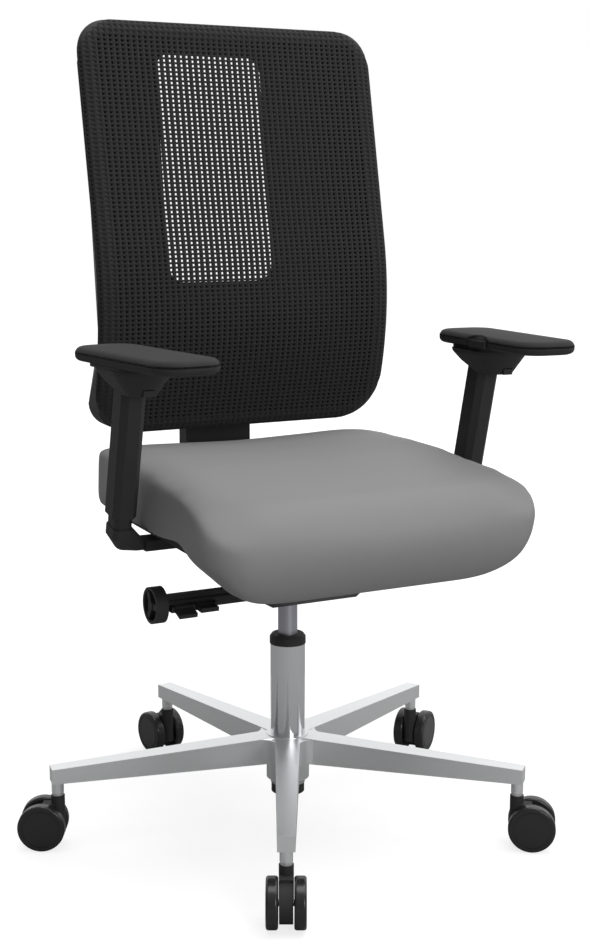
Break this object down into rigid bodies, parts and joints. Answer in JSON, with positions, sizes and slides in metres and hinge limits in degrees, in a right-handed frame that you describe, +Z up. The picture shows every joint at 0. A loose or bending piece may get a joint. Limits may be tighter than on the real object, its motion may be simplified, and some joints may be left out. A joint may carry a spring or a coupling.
{
  "type": "swivel chair",
  "caption": "Office swivel chair with a net back, upholstered waterfall seat, adjustable armrests and a polished star base on twin-wheel castors.",
  "frame": {"origin": "on the floor, under the axis of the lifting column", "axes": "+Z up along the column; -Y is the way the sitter faces; +X is the sitter's left"},
  "size_m": [0.7508, 0.7472, 1.143],
  "materials": {
    "polished_aluminium": "mirror-polished casting",
    "satin_chrome": "satin chrome plate",
    "ground_steel": "ground steel",
    "plated_steel": "zinc plated",
    "castor_wheel": "glossy black nylon",
    "seat_fabric": "mid-grey fine weave",
    "back_net": "black open net",
    "arm_pad": "soft black polyurethane, fine grain",
    "coated_metal": "black powder coat",
    "black_plastic": "black, fine spark-eroded grain"
  },
  "bodies": {
    "base": {"star_base": "polished_aluminium", "column_tube": "satin_chrome", "column_collar": "black_plastic", "column_clip": "black_plastic", "castor_stem_1": "plated_steel", "castor_stem_2": "plated_steel", "castor_stem_3": "plated_steel", "castor_stem_4": "plated_steel", "castor_stem_5": "plated_steel"},
    "piston": {"piston_rod": "ground_steel"},
    "chassis": {"gas_cylinder": "ground_steel", "mechanism_housing": "coated_metal", "control_bar": "black_plastic", "recline_axle": "plated_steel"},
    "knob": {"tension_knob": "black_plastic"},
    "height_lever": {"height_lever": "black_plastic"},
    "tilt_lever": {"tilt_lever": "black_plastic"},
    "seat": {"seat_pan": "black_plastic", "seat_cushion": "seat_fabric", "arm_rail": "coated_metal", "rail_bolts": "plated_steel", "arm_stem_right": "black_plastic", "arm_stem_left": "black_plastic"},
    "recliner": {"back_carrier": "black_plastic"},
    "back": {"back_shell": "black_plastic", "back_frame": "black_plastic", "back_net": "back_net", "lumbar_pad": "black_plastic"},
    "arm_right": {"arm_sleeve_right": "black_plastic", "arm_carrier_right": "black_plastic"},
    "armrest_right": {"pad_base_right": "black_plastic", "arm_pad_right": "arm_pad"},
    "height_button_right": {"height_button_right": "black_plastic"},
    "pad_button_right": {"pad_button_right": "black_plastic"},
    "arm_left": {"arm_sleeve_left": "black_plastic", "arm_carrier_left": "black_plastic"},
    "armrest_left": {"pad_base_left": "black_plastic", "arm_pad_left": "arm_pad"},
    "height_button_left": {"height_button_left": "black_plastic"},
    "pad_button_left": {"pad_button_left": "black_plastic"},
    "castor_1": {"castor_housing_1": "black_plastic", "castor_axle_1": "plated_steel"},
    "roller_right_1": {"wheel_right_1": "castor_wheel"},
    "roller_left_1": {"wheel_left_1": "castor_wheel"},
    "castor_2": {"castor_housing_2": "black_plastic", "castor_axle_2": "plated_steel"},
    "roller_right_2": {"wheel_right_2": "castor_wheel"},
    "roller_left_2": {"wheel_left_2": "castor_wheel"},
    "castor_3": {"castor_housing_3": "black_plastic", "castor_axle_3": "plated_steel"},
    "roller_right_3": {"wheel_right_3": "castor_wheel"},
    "roller_left_3": {"wheel_left_3": "castor_wheel"},
    "castor_4": {"castor_housing_4": "black_plastic", "castor_axle_4": "plated_steel"},
    "roller_right_4": {"wheel_right_4": "castor_wheel"},
    "roller_left_4": {"wheel_left_4": "castor_wheel"},
    "castor_5": {"castor_housing_5": "black_plastic", "castor_axle_5": "plated_steel"},
    "roller_right_5": {"wheel_right_5": "castor_wheel"},
    "roller_left_5": {"wheel_left_5": "castor_wheel"}
  },
  "joints": [
    {"name": "seat_swivel", "type": "hinge", "parent": "base", "child": "piston", "pos_m": [0, 0, 0.05], "axis": [0, 0, 1], "continuous": true},
    {"name": "seat_height", "type": "slide", "parent": "piston", "child": "chassis", "axis": [0, 0, 1], "range_m": [-0.045, 0.065]},
    {"name": "tension_turn", "type": "hinge", "parent": "chassis", "child": "knob", "pos_m": [-0.22, -0.048, 0.359], "axis": [1, 0, 0], "continuous": true},
    {"name": "height_lever_press", "type": "hinge", "parent": "chassis", "child": "height_lever", "pos_m": [-0.19, -0.06, 0.353], "axis": [-1, 0, 0], "range_deg": [0, 12], "stiffness_Nm_per_rad": 0.4, "springref_deg": -17.19},
    {"name": "tilt_lever_press", "type": "hinge", "parent": "chassis", "child": "tilt_lever", "pos_m": [-0.159, -0.06, 0.353], "axis": [-1, 0, 0], "range_deg": [0, 12], "stiffness_Nm_per_rad": 0.4, "springref_deg": -17.19},
    {"name": "recline", "type": "hinge", "parent": "chassis", "child": "recliner", "pos_m": [0, 0.088, 0.378], "axis": [-1, 0, 0], "range_deg": [0, 18], "stiffness_Nm_per_rad": 60, "springref_deg": -28.65},
    {"name": "seat_tilt", "type": "hinge", "parent": "chassis", "child": "seat", "pos_m": [0, -0.088, 0.38], "axis": [-1, 0, 0], "range_deg": [0, 6]},
    {"name": "back_height", "type": "slide", "parent": "recliner", "child": "back", "axis": [0, 0, 1], "range_m": [0, 0.06]},
    {"name": "arm_height_right", "type": "slide", "parent": "seat", "child": "arm_right", "axis": [0, -0.2385, 0.9711], "range_m": [-0.012, 0.08]},
    {"name": "pad_slide_right", "type": "slide", "parent": "arm_right", "child": "armrest_right", "axis": [0, -1, 0], "range_m": [-0.018, 0.018]},
    {"name": "height_press_right", "type": "slide", "parent": "arm_right", "child": "height_button_right", "axis": [0, 1, 0], "range_m": [0, 0.002], "stiffness_N_per_m": 400, "springref_m": -0.003},
    {"name": "pad_press_right", "type": "slide", "parent": "armrest_right", "child": "pad_button_right", "axis": [-0.9962, -0.0872, 0], "range_m": [0, 0.002], "stiffness_N_per_m": 400, "springref_m": -0.003},
    {"name": "arm_height_left", "type": "slide", "parent": "seat", "child": "arm_left", "axis": [0, -0.2385, 0.9711], "range_m": [-0.012, 0.08]},
    {"name": "pad_slide_left", "type": "slide", "parent": "arm_left", "child": "armrest_left", "axis": [0, -1, 0], "range_m": [-0.018, 0.018]},
    {"name": "height_press_left", "type": "slide", "parent": "arm_left", "child": "height_button_left", "axis": [0, 1, 0], "range_m": [0, 0.002], "stiffness_N_per_m": 400, "springref_m": -0.003},
    {"name": "pad_press_left", "type": "slide", "parent": "armrest_left", "child": "pad_button_left", "axis": [0.9962, -0.0872, 0], "range_m": [0, 0.002], "stiffness_N_per_m": 400, "springref_m": -0.003},
    {"name": "castor_swivel_1", "type": "hinge", "parent": "base", "child": "castor_1", "pos_m": [-0.15821, -0.29755, 0.06], "axis": [0, 0, 1], "continuous": true},
    {"name": "roll_right_1", "type": "hinge", "parent": "castor_1", "child": "roller_right_1", "pos_m": [-0.16831, -0.31654, 0.033], "axis": [0.8829, -0.4695, 0], "continuous": true},
    {"name": "roll_left_1", "type": "hinge", "parent": "castor_1", "child": "roller_left_1", "pos_m": [-0.16831, -0.31654, 0.033], "axis": [0.8829, -0.4695, 0], "continuous": true},
    {"name": "castor_swivel_2", "type": "hinge", "parent": "base", "child": "castor_2", "pos_m": [0.2341, -0.24242, 0.06], "axis": [0, 0, 1], "continuous": true},
    {"name": "roll_right_2", "type": "hinge", "parent": "castor_2", "child": "roller_right_2", "pos_m": [0.25149, -0.25505, 0.033], "axis": [0.5878, 0.809, 0], "continuous": true},
    {"name": "roll_left_2", "type": "hinge", "parent": "castor_2", "child": "roller_left_2", "pos_m": [0.25149, -0.25505, 0.033], "axis": [0.5878, 0.809, 0], "continuous": true},
    {"name": "castor_swivel_3", "type": "hinge", "parent": "base", "child": "castor_3", "pos_m": [0.30289, 0.14773, 0.06], "axis": [0, 0, 1], "continuous": true},
    {"name": "roll_right_3", "type": "hinge", "parent": "castor_3", "child": "roller_right_3", "pos_m": [0.31984, 0.16097, 0.033], "axis": [-0.6157, 0.788, 0], "continuous": true},
    {"name": "roll_left_3", "type": "hinge", "parent": "castor_3", "child": "roller_left_3", "pos_m": [0.31984, 0.16097, 0.033], "axis": [-0.6157, 0.788, 0], "continuous": true},
    {"name": "castor_swivel_4", "type": "hinge", "parent": "base", "child": "castor_4", "pos_m": [-0.0469, 0.33372, 0.06], "axis": [0, 0, 1], "continuous": true},
    {"name": "roll_right_4", "type": "hinge", "parent": "castor_4", "child": "roller_right_4", "pos_m": [-0.04989, 0.35501, 0.033], "axis": [-0.9903, -0.1392, 0], "continuous": true},
    {"name": "roll_left_4", "type": "hinge", "parent": "castor_4", "child": "roller_left_4", "pos_m": [-0.04989, 0.35501, 0.033], "axis": [-0.9903, -0.1392, 0], "continuous": true},
    {"name": "castor_swivel_5", "type": "hinge", "parent": "base", "child": "castor_5", "pos_m": [-0.33188, 0.05852, 0.06], "axis": [0, 0, 1], "continuous": true},
    {"name": "roll_right_5", "type": "hinge", "parent": "castor_5", "child": "roller_right_5", "pos_m": [-0.35086, 0.06861, 0.033], "axis": [-0.4695, -0.8829, 0], "continuous": true},
    {"name": "roll_left_5", "type": "hinge", "parent": "castor_5", "child": "roller_left_5", "pos_m": [-0.35086, 0.06861, 0.033], "axis": [-0.4695, -0.8829, 0], "continuous": true}
  ],
  "couplings": [
    {"joint": "seat_tilt", "follows": "recline", "ratio": 0.3333}
  ]
}
